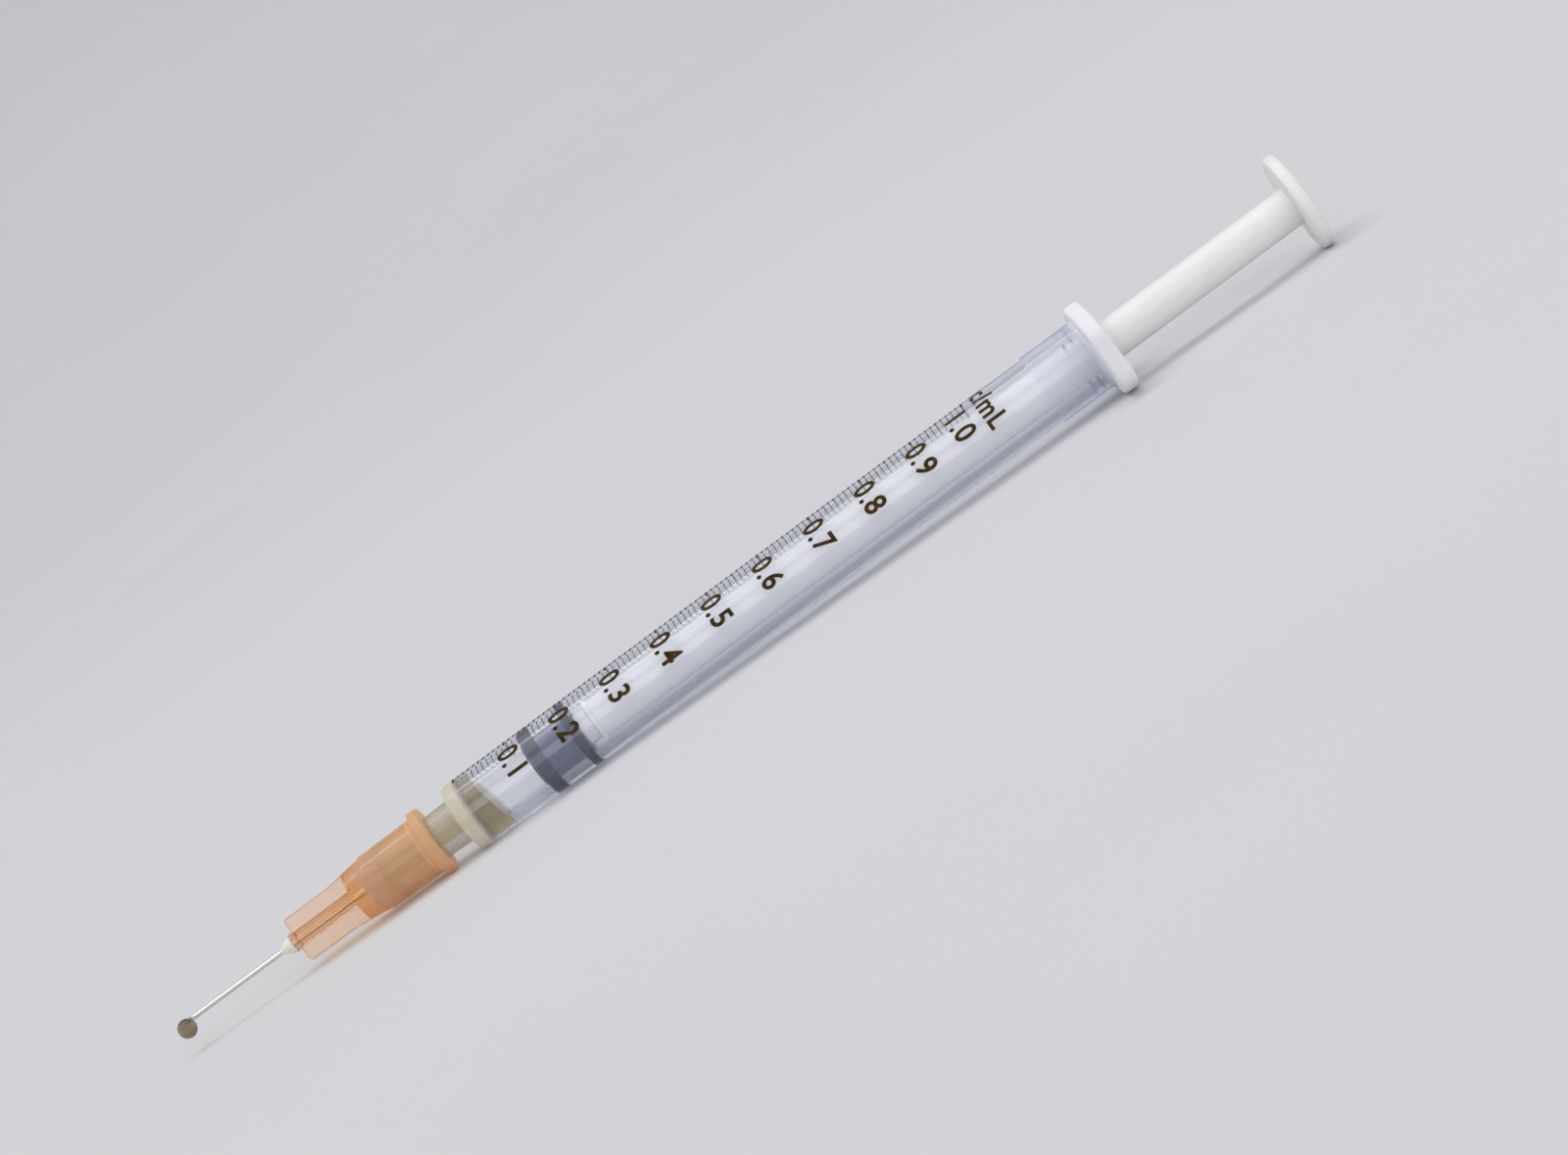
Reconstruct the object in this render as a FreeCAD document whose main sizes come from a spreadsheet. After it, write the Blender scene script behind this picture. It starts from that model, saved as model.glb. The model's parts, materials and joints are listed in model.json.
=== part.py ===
# One-millilitre slip-tip syringe with a fine needle on its nozzle, lying at rest.
# Millimetres. Each piece is drawn in the syringe's own frame: the axis runs along X, the zero
# graduation is at X = 0 and the plunger is towards +X. At the end all pieces are tipped together
# into the pose in which the syringe lies on a table, with the table at Z = 0.
import FreeCAD, Part
import math
import os

import Sketcher

# Driving dimensions
SIZES = {
    # barrel
    "scale_length": 57.0,
    "bore_radius": 2.365,
    "barrel_radius": 3.38,
    "dead_gap": 0.43,
    "front_wall": 1.20,
    "shoulder_round": 0.55,
    "bore_bottom_slope": 0.25,
    "collar_radius": 3.55,
    "collar_past_scale": 6.70,
    "stop_ring_past_scale": 10.60,
    "stop_ring_width": 0.60,
    "stop_ring_height": 0.12,
    "stop_ring_slope": 0.25,
    "mouth_past_scale": 11.70,
    "mouth_radius": 2.85,
    "barrel_past_scale": 14.0,
    # slip nozzle
    "nozzle_length": 8.0,
    "nozzle_tip_radius": 1.985,
    "nozzle_tip_slope": 0.15,
    "cone_taper": 0.06,
    "passage_radius": 0.65,
    # finger flange
    "flange_thickness": 1.65,
    "flange_half_width": 4.58,
    "flange_half_length": 8.5,
    "flange_side_radius": 20.0,
    "flange_corner_radius": 1.5,
    "flange_edge_round": 0.45,
    # rubber stopper
    "dose": 0.119,
    "stopper_length": 5.41,
    "stopper_core_radius": 2.20,
    "rib_clearance": 0.02,
    "front_rib_width": 1.46,
    "rear_rib_width": 0.86,
    "rear_lip_width": 0.14,
    "rib_slope": 0.20,
    # plunger rod
    "rod_radius": 1.90,
    "thumb_standoff": 13.28,
    "thumb_rest_radius": 4.94,
    "thumb_rest_thickness": 1.30,
    "thumb_rest_round": 0.45,
    "neck_radius": 1.67,
    "neck_length": 1.16,
    "rod_collar_radius": 2.18,
    "rod_collar_width": 0.56,
    "rod_collar_slope": 0.14,
    "head_radius": 1.45,
    "head_length": 1.90,
    "head_depth": 3.60,
    "head_stem_radius": 0.95,
    "head_slope": 0.30,
    "head_clearance": 0.03,
    # needle hub
    "socket_mouth_radius": 2.143,
    "socket_depth": 7.69,
    "socket_bottom_slope": 0.40,
    "hub_length": 16.19,
    "hub_rim_radius": 3.35,
    "hub_rim_width": 1.20,
    "hub_rim_slope": 0.28,
    "hub_rim_chamfer": 0.12,
    "hub_socket_rear_radius": 2.86,
    "hub_socket_front_radius": 2.815,
    "hub_socket_length": 6.84,
    "hub_step": 0.09,
    "hub_web": 1.35,
    "fin_tip_radius": 2.27,
    "fin_taper_length": 4.00,
    "fin_taper_round": 9.0,
    "fin_thickness": 1.15,
    "fin_setback": 0.45,
    "fin_corner_round": 0.30,
    "fin_turn": 15.0,
    "nose_radius": 0.90,
    # needle tube and its glue
    "needle_radius": 0.25,
    "needle_bore_radius": 0.13,
    "needle_reach": 13.40,
    "needle_rear_standout": 0.65,
    "bevel_angle": 12.0,
    "facet_angle": 19.0,
    "facet_turn": 35.0,
    "facet_length": 0.90,
    "glue_length": 1.30,
    "glue_front_radius": 0.33,
    "glue_bulge": 0.07,
    # what the syringe holds
    "meniscus_top": 1.38,
    "meniscus_bottom": 2.49,
    "drop_radius": 0.94,
    "drop_hang": 0.50,
    "drop_setback": 0.95,
}

# Places along the axis, as expressions of the driving dimensions
BORE_END = "(-Size.dead_gap)"
SHOULDER = f"({BORE_END} - Size.front_wall)"
NOZZLE_TIP = f"({SHOULDER} - Size.nozzle_length)"
NOZZLE_ROOT_RADIUS = "(Size.nozzle_tip_radius + Size.cone_taper / 2 * Size.nozzle_length)"
BORE_CORNER = f"({BORE_END} + Size.bore_bottom_slope)"
BORE_CORNER_RADIUS = "(Size.bore_radius - Size.bore_bottom_slope)"
BARREL_END = "(Size.scale_length + Size.barrel_past_scale)"
COLLAR = "(Size.scale_length + Size.collar_past_scale)"
STOP_RING = "(Size.scale_length + Size.stop_ring_past_scale)"
STOP_RING_END = f"({STOP_RING} + Size.stop_ring_width)"
STOP_RING_RADIUS = "(Size.bore_radius - Size.stop_ring_height)"
MOUTH = "(Size.scale_length + Size.mouth_past_scale)"
FLANGE_FRONT = f"({BARREL_END} - Size.flange_thickness)"

STOPPER_FRONT = "(Size.dose * Size.scale_length)"
STOPPER_REAR = f"({STOPPER_FRONT} + Size.stopper_length)"
RIB_RADIUS = "(Size.bore_radius - Size.rib_clearance)"
FRONT_RIB_END = f"({STOPPER_FRONT} + Size.front_rib_width)"
REAR_RIB_END = f"({STOPPER_REAR} - Size.rear_lip_width)"
REAR_RIB = f"({REAR_RIB_END} - Size.rear_rib_width)"

NECK = f"({STOPPER_REAR} + Size.head_clearance)"
ROD_COLLAR = f"({NECK} + Size.neck_length)"
ROD_COLLAR_END = f"({ROD_COLLAR} + Size.rod_collar_width)"
THUMB_REST = f"({STOPPER_FRONT} + {BARREL_END} - {BORE_END} + Size.thumb_standoff)"
THUMB_REST_END = f"({THUMB_REST} + Size.thumb_rest_thickness)"
HEAD_FRONT = f"({STOPPER_REAR} - Size.head_depth)"
HEAD_REAR = f"({HEAD_FRONT} + Size.head_length)"

HUB_RIM = f"({NOZZLE_TIP} + (Size.socket_mouth_radius - Size.nozzle_tip_radius) * 2 / Size.cone_taper)"
HUB_RIM_FRONT = f"({HUB_RIM} - Size.hub_rim_width)"
HUB_STEP = f"({HUB_RIM} - Size.hub_socket_length)"
SOCKET_BOTTOM = f"({HUB_RIM} - Size.socket_depth)"
SOCKET_BOTTOM_RADIUS = "(Size.socket_mouth_radius - Size.cone_taper / 2 * Size.socket_depth)"
SOCKET_CORNER = f"({SOCKET_BOTTOM} + Size.socket_bottom_slope)"
SOCKET_CORNER_RADIUS = f"({SOCKET_BOTTOM_RADIUS} - Size.socket_bottom_slope)"
FIN_START = f"({SOCKET_BOTTOM} - Size.hub_web)"
NOSE = f"({HUB_RIM} - Size.hub_length)"
FIN_FRONT = f"({NOSE} + Size.fin_setback)"
FIN_TAPER_END = f"({HUB_STEP} - Size.fin_taper_length)"

NEEDLE_TIP = f"({NOSE} - Size.needle_reach)"
NEEDLE_REAR = f"({SOCKET_BOTTOM} + Size.needle_rear_standout)"
GLUE_FRONT = f"({NOSE} - Size.glue_length)"
GLUE_MIDDLE = f"({NOSE} - Size.glue_length / 2)"
GLUE_MIDDLE_RADIUS = "((Size.nose_radius + Size.glue_front_radius) / 2 + Size.glue_bulge)"
DROP_CENTRE = f"({NEEDLE_TIP} + Size.drop_setback)"

AXIS = "0"
HALFWAY_ROUND = "(1 - cos(45))"
TOLERANCE = 1e-4
FULL_TURN = 360
FINS = 4


def make_sheet(doc):
    """Writes the driving dimensions, one named cell each."""
    sheet = doc.addObject("Spreadsheet::Sheet", "Size")
    for row, (name, value) in enumerate(SIZES.items(), start=1):
        sheet.set(f"A{row}", name)
        sheet.set(f"B{row}", str(value))
        sheet.setAlias(f"B{row}", name)
    doc.recompute()
    return sheet


def measure(thing, expression):
    """The number that an expression of the sheet's sizes gives."""
    return float(thing.evalExpression(expression))


def new_body(doc, label):
    body = doc.addObject("PartDesign::Body", label)
    body.Label = label
    return body


def new_sketch(body, name, role, offset="0", turn="0", about=FreeCAD.Vector(0, 0, 1)):
    """A sketch on one of the body's own planes, shifted along the plane's normal or turned."""
    sketch = body.newObject("Sketcher::SketchObject", name)
    base = next(plane for plane in body.Origin.OriginFeatures if plane.Role == role)
    sketch.AttachmentSupport = [(base, "")]
    sketch.MapMode = "FlatFace"
    spin = FreeCAD.Rotation(about, measure(sketch, turn))
    shift = FreeCAD.Vector(0, 0, measure(sketch, offset))
    sketch.AttachmentOffset = FreeCAD.Placement(shift, spin)
    if offset != "0":
        sketch.setExpression("AttachmentOffset.Base.z", offset)
    if turn != "0":
        sketch.setExpression("AttachmentOffset.Rotation.Angle", turn)
    return sketch


def pin_down(sketch, geometry, end, u, v):
    """Holds one end of a line or arc at a place given by two expressions."""
    for kind, expression, other_axis in (("DistanceX", u, -2), ("DistanceY", v, -1)):
        if expression == AXIS:
            sketch.addConstraint(Sketcher.Constraint("PointOnObject", geometry, end, other_axis))
            continue
        distance = Sketcher.Constraint(kind, -1, 1, geometry, end, measure(sketch, expression))
        index = sketch.addConstraint(distance)
        sketch.setExpression(f"Constraints[{index}]", expression)


def outline(sketch, corners):
    """A closed outline of straight lines through corners given as pairs of expressions."""
    points = [FreeCAD.Vector(measure(sketch, u), measure(sketch, v), 0) for u, v in corners]
    count = len(points)
    for i, point in enumerate(points):
        sketch.addGeometry(Part.LineSegment(point, points[(i + 1) % count]), False)
    for i, (u, v) in enumerate(corners):
        sketch.addConstraint(Sketcher.Constraint("Coincident", (i - 1) % count, 2, i, 1))
        pin_down(sketch, i, 1, u, v)
    return sketch


def revolve(body, name, corners, kind="PartDesign::Revolution"):
    """Turns an outline of (place along the axis, radius) corners about the syringe's axis."""
    sketch = outline(new_sketch(body, name + "_outline", "XZ_Plane"), corners)
    turned = body.newObject(kind, name)
    turned.Profile = sketch
    turned.ReferenceAxis = (sketch, ["H_Axis"])
    turned.Angle = FULL_TURN
    body.Document.recompute()
    return turned


def eased_edge(place, radius, size, side):
    """Corners that ease a square edge off in two slopes, as a round of that size would.

    The edge is at a place along the axis and a radius from it. The side is + where the piece
    lies past the place and - where it lies before it.
    """
    return [
        (place, f"{radius} - {size}"),
        (f"{place} {side} {HALFWAY_ROUND} * {size}", f"{radius} - {HALFWAY_ROUND} * {size}"),
        (f"{place} {side} {size}", radius),
    ]


def rings(feature, place, radius):
    """Names of the round edges about the axis at a place along it with a given radius."""
    x, r = measure(feature, place), measure(feature, radius)
    found = []
    for number, edge in enumerate(feature.Shape.Edges, start=1):
        curve = edge.Curve
        if not isinstance(curve, Part.Circle) or abs(curve.Radius - r) > TOLERANCE:
            continue
        if abs(curve.Center.x - x) < TOLERANCE and abs(curve.Axis.x) > 1 - TOLERANCE:
            found.append(f"Edge{number}")
    return found


def fillet(body, name, edges, radius):
    """Rounds edges of the body's last feature with a radius from the sheet."""
    rounded = body.newObject("PartDesign::Fillet", name)
    rounded.Base = (rounded.BaseFeature, edges)
    rounded.Radius = measure(rounded, radius)
    rounded.setExpression("Radius", radius)
    body.Document.recompute()
    return rounded


def make_barrel(doc):
    """Clear barrel, moulded in one with its slip nozzle and finger flange."""
    body = new_body(doc, "barrel")
    revolve(body, "barrel_outside", [
        (NOZZLE_TIP, AXIS),
        (NOZZLE_TIP, "Size.nozzle_tip_radius - Size.nozzle_tip_slope"),
        (f"{NOZZLE_TIP} + Size.nozzle_tip_slope", "Size.nozzle_tip_radius"),
        (SHOULDER, NOZZLE_ROOT_RADIUS),
        *eased_edge(SHOULDER, "Size.barrel_radius", "Size.shoulder_round", "+"),
        (COLLAR, "Size.barrel_radius"),
        (COLLAR, "Size.collar_radius"),
        (BARREL_END, "Size.collar_radius"),
        (BARREL_END, AXIS),
    ])
    add_flange(body)
    revolve(body, "barrel_inside", [
        (NOZZLE_TIP, AXIS),
        (NOZZLE_TIP, "Size.passage_radius"),
        (BORE_END, "Size.passage_radius"),
        (BORE_END, BORE_CORNER_RADIUS),
        (BORE_CORNER, "Size.bore_radius"),
        (f"{STOP_RING} - Size.stop_ring_slope", "Size.bore_radius"),
        (STOP_RING, STOP_RING_RADIUS),
        (STOP_RING_END, STOP_RING_RADIUS),
        (f"{STOP_RING_END} + Size.stop_ring_slope", "Size.bore_radius"),
        (MOUTH, "Size.bore_radius"),
        (BARREL_END, "Size.mouth_radius"),
        (BARREL_END, AXIS),
    ], "PartDesign::Groove")
    return body


def add_flange(body):
    """Long finger flange: two bowed sides, two blunt ends, every edge rounded."""
    sketch = new_sketch(body, "flange_outline", "YZ_Plane", FLANGE_FRONT)
    length = measure(sketch, "Size.flange_half_length")
    width = measure(sketch, "Size.flange_half_width")
    bow = measure(sketch, "Size.flange_side_radius")
    reach = math.asin(length / bow)
    for side in (1, -1):
        centre = FreeCAD.Vector(0, side * (width - bow), 0)
        circle = Part.Circle(centre, FreeCAD.Vector(0, 0, 1), bow)
        middle = side * math.pi / 2
        arc = sketch.addGeometry(Part.ArcOfCircle(circle, middle - reach, middle + reach), False)
        sketch.addConstraint(Sketcher.Constraint("PointOnObject", arc, 3, -2))
        radius = sketch.addConstraint(Sketcher.Constraint("Radius", arc, bow))
        sketch.setExpression(f"Constraints[{radius}]", "Size.flange_side_radius")
        height = Sketcher.Constraint("DistanceY", -1, 1, arc, 3, centre.y)
        index = sketch.addConstraint(height)
        sign = "" if side > 0 else "-"
        sketch.setExpression(
            f"Constraints[{index}]", f"{sign}(Size.flange_half_width - Size.flange_side_radius)"
        )
    # An arc runs anticlockwise: the upper one starts at the right, the lower one at the left.
    corner = math.sqrt(bow * bow - length * length) - (bow - width)
    for side, start, end in ((1, (1, 2), (0, 1)), (-1, (0, 2), (1, 1))):
        low = FreeCAD.Vector(side * length, -side * corner, 0)
        high = FreeCAD.Vector(side * length, side * corner, 0)
        line = sketch.addGeometry(Part.LineSegment(low, high), False)
        sketch.addConstraint(Sketcher.Constraint("Coincident", start[0], start[1], line, 1))
        sketch.addConstraint(Sketcher.Constraint("Coincident", line, 2, end[0], end[1]))
        sketch.addConstraint(Sketcher.Constraint("Vertical", line))
        index = sketch.addConstraint(
            Sketcher.Constraint("DistanceX", -1, 1, line, 1, side * length)
        )
        sign = "" if side > 0 else "-"
        sketch.setExpression(f"Constraints[{index}]", f"{sign}Size.flange_half_length")
    pad = body.newObject("PartDesign::Pad", "finger_flange")
    pad.Profile = sketch
    pad.setExpression("Length", "Size.flange_thickness")
    body.Document.recompute()
    fillet(body, "flange_corners", flange_corners(pad), "Size.flange_corner_radius")
    fillet(body, "flange_edges", flange_rims(body.Tip), "Size.flange_edge_round")


def flange_corners(feature):
    """Names of the four edges along X at the flange's ends."""
    length = measure(feature, "Size.flange_half_length")
    found = []
    for number, edge in enumerate(feature.Shape.Edges, start=1):
        ends = [vertex.Point for vertex in edge.Vertexes]
        if len(ends) == 2 and all(abs(abs(end.y) - length) < TOLERANCE for end in ends):
            if abs(ends[0].x - ends[1].x) > TOLERANCE:
                found.append(f"Edge{number}")
    return found


def flange_rims(feature):
    """Names of the edges that run round the flange's front and rear faces."""
    inner = measure(feature, "Size.collar_radius")
    faces = (measure(feature, FLANGE_FRONT), measure(feature, BARREL_END))
    found = []
    for number, edge in enumerate(feature.Shape.Edges, start=1):
        box = edge.BoundBox
        flat = any(abs(box.XMin - x) < TOLERANCE and abs(box.XMax - x) < TOLERANCE for x in faces)
        middle = edge.CenterOfMass
        if flat and math.hypot(middle.y, middle.z) > inner:
            found.append(f"Edge{number}")
    return found


def make_stopper(doc):
    """Rubber stopper: two sealing ribs, a slimmer waist and a socket for the rod's head."""
    body = new_body(doc, "rubber_stopper")
    chamber_radius = "Size.head_radius + Size.head_clearance"
    stem_radius = "Size.head_stem_radius + Size.head_clearance"
    chamber_front = f"{HEAD_FRONT} - Size.head_clearance"
    chamber_rear = f"{HEAD_REAR} + Size.head_clearance"
    revolve(body, "stopper_outside", [
        (STOPPER_FRONT, AXIS),
        (STOPPER_FRONT, f"{RIB_RADIUS} - Size.rib_slope"),
        (f"{STOPPER_FRONT} + Size.rib_slope", RIB_RADIUS),
        (FRONT_RIB_END, RIB_RADIUS),
        (FRONT_RIB_END, "Size.stopper_core_radius"),
        (REAR_RIB, "Size.stopper_core_radius"),
        (REAR_RIB, RIB_RADIUS),
        (REAR_RIB_END, RIB_RADIUS),
        (STOPPER_REAR, "Size.stopper_core_radius"),
        (STOPPER_REAR, AXIS),
    ])
    revolve(body, "head_socket", [
        (chamber_front, AXIS),
        (chamber_front, chamber_radius),
        (chamber_rear, chamber_radius),
        (chamber_rear, stem_radius),
        (STOPPER_REAR, stem_radius),
        (STOPPER_REAR, AXIS),
    ], "PartDesign::Groove")
    return body


def make_plunger_rod(doc):
    """Solid round rod with its thumb rest, a collar, a neck and the head that snaps into rubber."""
    body = new_body(doc, "plunger_rod")
    revolve(body, "rod_outside", [
        (HEAD_FRONT, AXIS),
        (HEAD_FRONT, "Size.head_radius - Size.head_slope"),
        (f"{HEAD_FRONT} + Size.head_slope", "Size.head_radius"),
        (HEAD_REAR, "Size.head_radius"),
        (HEAD_REAR, "Size.head_stem_radius"),
        (NECK, "Size.head_stem_radius"),
        (NECK, "Size.neck_radius"),
        (ROD_COLLAR, "Size.neck_radius"),
        (f"{ROD_COLLAR} + Size.rod_collar_slope", "Size.rod_collar_radius"),
        (ROD_COLLAR_END, "Size.rod_collar_radius"),
        (ROD_COLLAR_END, "Size.rod_radius"),
        (THUMB_REST, "Size.rod_radius"),
        *eased_edge(THUMB_REST, "Size.thumb_rest_radius", "Size.thumb_rest_round", "+"),
        *reversed(
            eased_edge(THUMB_REST_END, "Size.thumb_rest_radius", "Size.thumb_rest_round", "-")
        ),
        (THUMB_REST_END, AXIS),
    ])
    return body


def make_hub(doc):
    """Coloured needle hub: conical socket with a rim, and four fins round a central nose."""
    body = new_body(doc, "needle_hub")
    step_radius = "Size.hub_socket_front_radius - Size.hub_step"
    revolve(body, "hub_outside", [
        (HUB_RIM, AXIS),
        (HUB_RIM, "Size.hub_rim_radius - Size.hub_rim_chamfer"),
        (f"{HUB_RIM} - Size.hub_rim_chamfer", "Size.hub_rim_radius"),
        (f"{HUB_RIM_FRONT} + Size.hub_rim_slope", "Size.hub_rim_radius"),
        (HUB_RIM_FRONT, "Size.hub_socket_rear_radius"),
        (HUB_STEP, "Size.hub_socket_front_radius"),
        (HUB_STEP, step_radius),
        (FIN_TAPER_END, "Size.fin_tip_radius"),
        *reversed(eased_edge(FIN_FRONT, "Size.fin_tip_radius", "Size.fin_corner_round", "+")),
        (FIN_FRONT, "Size.nose_radius"),
        (NOSE, "Size.nose_radius"),
        (NOSE, AXIS),
    ])
    bend = rings(body.Tip, FIN_TAPER_END, "Size.fin_tip_radius")
    fillet(body, "fin_bend", bend, "Size.fin_taper_round")
    cut_between_fins(body)
    revolve(body, "hub_inside", [
        (HUB_RIM, AXIS),
        (HUB_RIM, "Size.socket_mouth_radius"),
        (SOCKET_CORNER, f"{SOCKET_BOTTOM_RADIUS} + Size.cone_taper / 2 * Size.socket_bottom_slope"),
        (SOCKET_BOTTOM, SOCKET_CORNER_RADIUS),
        (SOCKET_BOTTOM, "Size.needle_radius"),
        (NOSE, "Size.needle_radius"),
        (NOSE, AXIS),
    ], "PartDesign::Groove")
    return body


def cut_between_fins(body):
    """Clears the four spaces between the fins, from the web to the front, outside the nose."""
    sketch = new_sketch(body, "fin_space", "YZ_Plane", FIN_START, "-Size.fin_turn")
    side = measure(sketch, "Size.fin_thickness / 2")
    nose = measure(sketch, "Size.nose_radius")
    far = measure(sketch, "Size.hub_rim_radius")
    foot = math.sqrt(nose * nose - side * side)
    low = math.asin(side / nose)
    circle = Part.Circle(FreeCAD.Vector(0, 0, 0), FreeCAD.Vector(0, 0, 1), nose)
    arc = sketch.addGeometry(Part.ArcOfCircle(circle, low, math.pi / 2 - low), False)
    corners = [
        FreeCAD.Vector(side, foot, 0),
        FreeCAD.Vector(side, far, 0),
        FreeCAD.Vector(far, far, 0),
        FreeCAD.Vector(far, side, 0),
        FreeCAD.Vector(foot, side, 0),
    ]
    lines = [
        sketch.addGeometry(Part.LineSegment(start, end), False)
        for start, end in zip(corners, corners[1:])
    ]
    sketch.addConstraint(Sketcher.Constraint("Coincident", arc, 3, -1, 1))
    for before, after in zip(lines, lines[1:]):
        sketch.addConstraint(Sketcher.Constraint("Coincident", before, 2, after, 1))
    sketch.addConstraint(Sketcher.Constraint("Coincident", arc, 2, lines[0], 1))
    sketch.addConstraint(Sketcher.Constraint("Coincident", lines[-1], 2, arc, 1))
    for line, direction in zip(lines, ("Vertical", "Horizontal", "Vertical", "Horizontal")):
        sketch.addConstraint(Sketcher.Constraint(direction, line))
    held = (
        ("Radius", (arc,), nose, "Size.nose_radius"),
        ("DistanceX", (-1, 1, lines[0], 1), side, "Size.fin_thickness / 2"),
        ("DistanceY", (-1, 1, lines[-1], 2), side, "Size.fin_thickness / 2"),
        ("DistanceX", (-1, 1, lines[1], 2), far, "Size.hub_rim_radius"),
        ("DistanceY", (-1, 1, lines[1], 2), far, "Size.hub_rim_radius"),
    )
    for kind, where, value, expression in held:
        index = sketch.addConstraint(Sketcher.Constraint(kind, *where, value))
        sketch.setExpression(f"Constraints[{index}]", expression)
    pocket = body.newObject("PartDesign::Pocket", "fin_gap")
    pocket.Profile = sketch
    pocket.setExpression("Length", f"{FIN_START} - {NOSE}")
    pocket.Refine = False
    body.Document.recompute()
    one_gap = pocket.BaseFeature.Shape.Volume - pocket.Shape.Volume
    pattern = body.newObject("PartDesign::PolarPattern", "fin_gaps")
    pattern.Originals = [pocket]
    turn_axis = next(axis for axis in body.Origin.OriginFeatures if axis.Role == "X_Axis")
    pattern.Axis = (turn_axis, [""])
    pattern.Angle = FULL_TURN
    pattern.Occurrences = FINS
    pattern.Refine = False
    body.Tip = pattern
    body.Document.recompute()
    all_gaps = pocket.BaseFeature.Shape.Volume - pattern.Shape.Volume
    if abs(all_gaps - FINS * one_gap) > TOLERANCE:
        raise RuntimeError("a space between the fins is not cut")


def make_needle(doc):
    """Steel needle tube with a ground bevel and the two side facets that make its point."""
    body = new_body(doc, "needle_tube")
    revolve(body, "needle_outside", [
        (NEEDLE_TIP, AXIS),
        (NEEDLE_TIP, "Size.needle_radius"),
        (NEEDLE_REAR, "Size.needle_radius"),
        (NEEDLE_REAR, AXIS),
    ])
    grind(body, "bevel", "Size.bevel_angle", "0", "Size.needle_radius", "0")
    shoulder = "Size.needle_radius - Size.facet_length * tan(Size.bevel_angle)"
    for side, sign in (("upper", ""), ("lower", "-")):
        grind(
            body, f"{side}_facet", "Size.facet_angle", f"{sign}Size.facet_turn", shoulder,
            "Size.facet_length",
        )
    revolve(body, "needle_inside", [
        (NEEDLE_TIP, AXIS),
        (NEEDLE_TIP, "Size.needle_bore_radius"),
        (NEEDLE_REAR, "Size.needle_bore_radius"),
        (NEEDLE_REAR, AXIS),
    ], "PartDesign::Groove")
    return body


def grind(body, name, angle, turn, height, back):
    """Grinds away what lies on the -Y side of a slope that passes a given point of the tube.

    The slope passes the height above the axis at a distance back from the tip, and falls
    towards the hub at the angle given. The turn swings it round the needle's axis.
    """
    across = FreeCAD.Vector(1, 0, 0)
    sketch = new_sketch(body, name + "_outline", "XY_Plane", "0", turn, across)
    clear = "2 * Size.needle_radius"
    front = f"{NEEDLE_TIP} - {clear}"
    top = f"{height} + ({back} + {clear}) * tan({angle})"
    bottom = f"-{clear}"
    rear = f"{NEEDLE_TIP} + {back} + ({height} + {clear}) / tan({angle})"
    outline(sketch, [(front, top), (front, bottom), (rear, bottom)])
    pocket = body.newObject("PartDesign::Pocket", name)
    pocket.Profile = sketch
    pocket.Midplane = True
    pocket.Type = "ThroughAll"
    body.Document.recompute()


def make_glue(doc):
    """Bead of hardened glue that seals the needle tube into the hub's nose."""
    body = new_body(doc, "adhesive_bead")
    revolve(body, "glue_outside", [
        (NOSE, "Size.needle_radius"),
        (NOSE, "Size.nose_radius"),
        (GLUE_MIDDLE, GLUE_MIDDLE_RADIUS),
        (GLUE_FRONT, "Size.glue_front_radius"),
        (GLUE_FRONT, "Size.needle_radius"),
    ])
    return body


def make_liquid(doc):
    """What is left of the dose: it fills the hub's socket, the nozzle and the bore's front."""
    body = new_body(doc, "liquid")
    furthest = "Size.meniscus_bottom + Size.bore_radius"
    revolve(body, "liquid_outside", [
        (SOCKET_BOTTOM, AXIS),
        (SOCKET_BOTTOM, SOCKET_CORNER_RADIUS),
        (SOCKET_CORNER, f"{SOCKET_BOTTOM_RADIUS} + Size.cone_taper / 2 * Size.socket_bottom_slope"),
        (NOZZLE_TIP, "Size.nozzle_tip_radius"),
        (NOZZLE_TIP, "Size.passage_radius"),
        (BORE_END, "Size.passage_radius"),
        (BORE_END, BORE_CORNER_RADIUS),
        (BORE_CORNER, "Size.bore_radius"),
        (furthest, "Size.bore_radius"),
        (furthest, AXIS),
    ])
    revolve(body, "round_the_needle", [
        (SOCKET_BOTTOM, AXIS),
        (SOCKET_BOTTOM, "Size.needle_radius"),
        (NEEDLE_REAR, "Size.needle_radius"),
        (NEEDLE_REAR, AXIS),
    ], "PartDesign::Groove")
    level = outline(new_sketch(body, "meniscus_outline", "XZ_Plane"), [
        ("Size.meniscus_top", "Size.bore_radius"),
        (f"{furthest} + Size.dead_gap", "Size.bore_radius"),
        (f"{furthest} + Size.dead_gap", "-Size.bore_radius"),
        ("Size.meniscus_bottom", "-Size.bore_radius"),
    ])
    pocket = body.newObject("PartDesign::Pocket", "meniscus")
    pocket.Profile = level
    pocket.Midplane = True
    pocket.Type = "ThroughAll"
    doc.recompute()
    return body


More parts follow.
